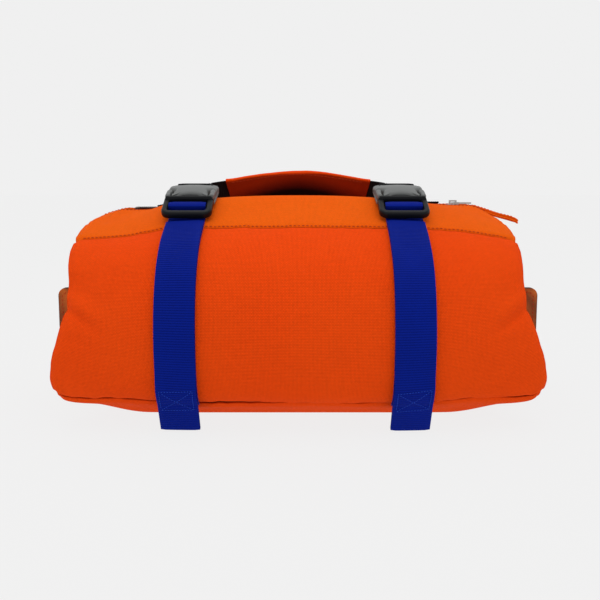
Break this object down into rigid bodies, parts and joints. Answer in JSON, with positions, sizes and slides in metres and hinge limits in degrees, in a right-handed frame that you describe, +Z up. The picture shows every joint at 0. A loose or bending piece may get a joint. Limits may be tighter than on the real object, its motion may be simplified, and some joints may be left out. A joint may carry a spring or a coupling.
{
  "type": "sandbag",
  "caption": "Small refillable zip-topped canvas weight bag with buckled webbing straps, a carry handle and leather end tabs, standing on its base.",
  "frame": {"origin": "on the floor under the middle of the bag's overall box", "axes": "+X to the viewer's right along the bag's length, +Y from the strapped front to the back, +Z up"},
  "size_m": [0.344, 0.1673, 0.1678],
  "materials": {
    "canvas": "plain-weave orange canvas",
    "canvas_top": "plain-weave orange canvas, lit top",
    "canvas_sleeve": "folded orange canvas",
    "zip_tape": "woven zip tape",
    "zip_teeth": "moulded coil",
    "zip_metal": "gunmetal plated die casting",
    "black_webbing": "black ribbed webbing",
    "blue_webbing": "blue ribbed polypropylene webbing",
    "buckle_body": "fine-textured moulded acetal",
    "buckle_frame": "fine-textured moulded acetal",
    "tan_leather": "tan leather with painted edges",
    "board": "stiffening board",
    "liner": "coated ripstop liner",
    "sand": "dry sand"
  },
  "bodies": {
    "root": {"front_panel": "canvas", "back_panel": "canvas", "base_panel": "canvas", "end_panel_left": "canvas", "end_panel_right": "canvas", "top_front_strip": "canvas_top", "top_rear_strip": "canvas_top", "zip_end_tab": "canvas_top", "zip_tape_front": "zip_tape", "zip_tape_rear": "zip_tape", "zip_chain": "zip_teeth", "zip_stop_left": "zip_metal", "zip_stop_right": "zip_metal", "handle_end_left": "black_webbing", "handle_end_right": "black_webbing", "leather_tab_left": "tan_leather", "leather_tab_right": "tan_leather", "base_board": "board", "liner_left": "liner", "liner_right": "liner", "sand_fill_left": "sand", "sand_fill_right": "sand", "buckle_body_left": "buckle_body", "buckle_anchor_left": "black_webbing", "load_strap_left": "blue_webbing", "strap_tail_left": "blue_webbing", "buckle_body_right": "buckle_body", "buckle_anchor_right": "black_webbing", "load_strap_right": "blue_webbing", "strap_tail_right": "blue_webbing"},
    "buckle_male_left": {"buckle_frame_left": "buckle_frame", "strap_loop_left": "blue_webbing"},
    "arm_inner_left": {"buckle_arm_inner_left": "buckle_body"},
    "arm_outer_left": {"buckle_arm_outer_left": "buckle_body"},
    "buckle_male_right": {"buckle_frame_right": "buckle_frame", "strap_loop_right": "blue_webbing"},
    "arm_inner_right": {"buckle_arm_inner_right": "buckle_body"},
    "arm_outer_right": {"buckle_arm_outer_right": "buckle_body"},
    "zip_slider": {"zip_slider": "zip_metal"},
    "zip_pull": {"zip_pull": "zip_metal"},
    "handle": {"handle_webbing": "black_webbing", "handle_sleeve": "canvas_sleeve"}
  },
  "joints": [
    {"name": "buckle_release_left", "type": "slide", "parent": "root", "child": "buckle_male_left", "axis": [0, -0.9659, -0.2588], "range_m": [0, 0.02], "deforming": ["buckle_arm_inner_left", "buckle_arm_outer_left", "strap_tail_left", "load_strap_left"]},
    {"name": "arm_squeeze_inner_left", "type": "hinge", "parent": "buckle_male_left", "child": "arm_inner_left", "pos_m": [-0.0599, -0.00379, 0.14287], "axis": [0, -0.2588, 0.9659], "range_deg": [0, 8], "stiffness_Nm_per_rad": 0.06},
    {"name": "arm_squeeze_outer_left", "type": "hinge", "parent": "buckle_male_left", "child": "arm_outer_left", "pos_m": [-0.0897, -0.00379, 0.14287], "axis": [0, 0.2588, -0.9659], "range_deg": [0, 8], "stiffness_Nm_per_rad": 0.06},
    {"name": "buckle_release_right", "type": "slide", "parent": "root", "child": "buckle_male_right", "axis": [0, -0.9659, -0.2588], "range_m": [0, 0.02], "deforming": ["buckle_arm_inner_right", "buckle_arm_outer_right", "strap_tail_right", "load_strap_right"]},
    {"name": "arm_squeeze_inner_right", "type": "hinge", "parent": "buckle_male_right", "child": "arm_inner_right", "pos_m": [0.0569, -0.00379, 0.14287], "axis": [0, 0.2588, -0.9659], "range_deg": [0, 8], "stiffness_Nm_per_rad": 0.06},
    {"name": "arm_squeeze_outer_right", "type": "hinge", "parent": "buckle_male_right", "child": "arm_outer_right", "pos_m": [0.0867, -0.00379, 0.14287], "axis": [0, -0.2588, 0.9659], "range_deg": [0, 8], "stiffness_Nm_per_rad": 0.06},
    {"name": "zip_slide", "type": "slide", "parent": "root", "child": "zip_slider", "axis": [-1, 0, 0], "range_m": [0, 0.229]},
    {"name": "zip_pull_swing", "type": "hinge", "parent": "zip_slider", "child": "zip_pull", "pos_m": [0.1165, 0.0377, 0.1418], "axis": [0, -1, 0], "range_deg": [0, 170]},
    {"name": "handle_tilt", "type": "hinge", "parent": "root", "child": "handle", "pos_m": [0, 0.0507, 0.1386], "axis": [1, 0, 0], "range_deg": [-12, 78], "deforming": ["handle_end_left", "handle_end_right"]}
  ]
}
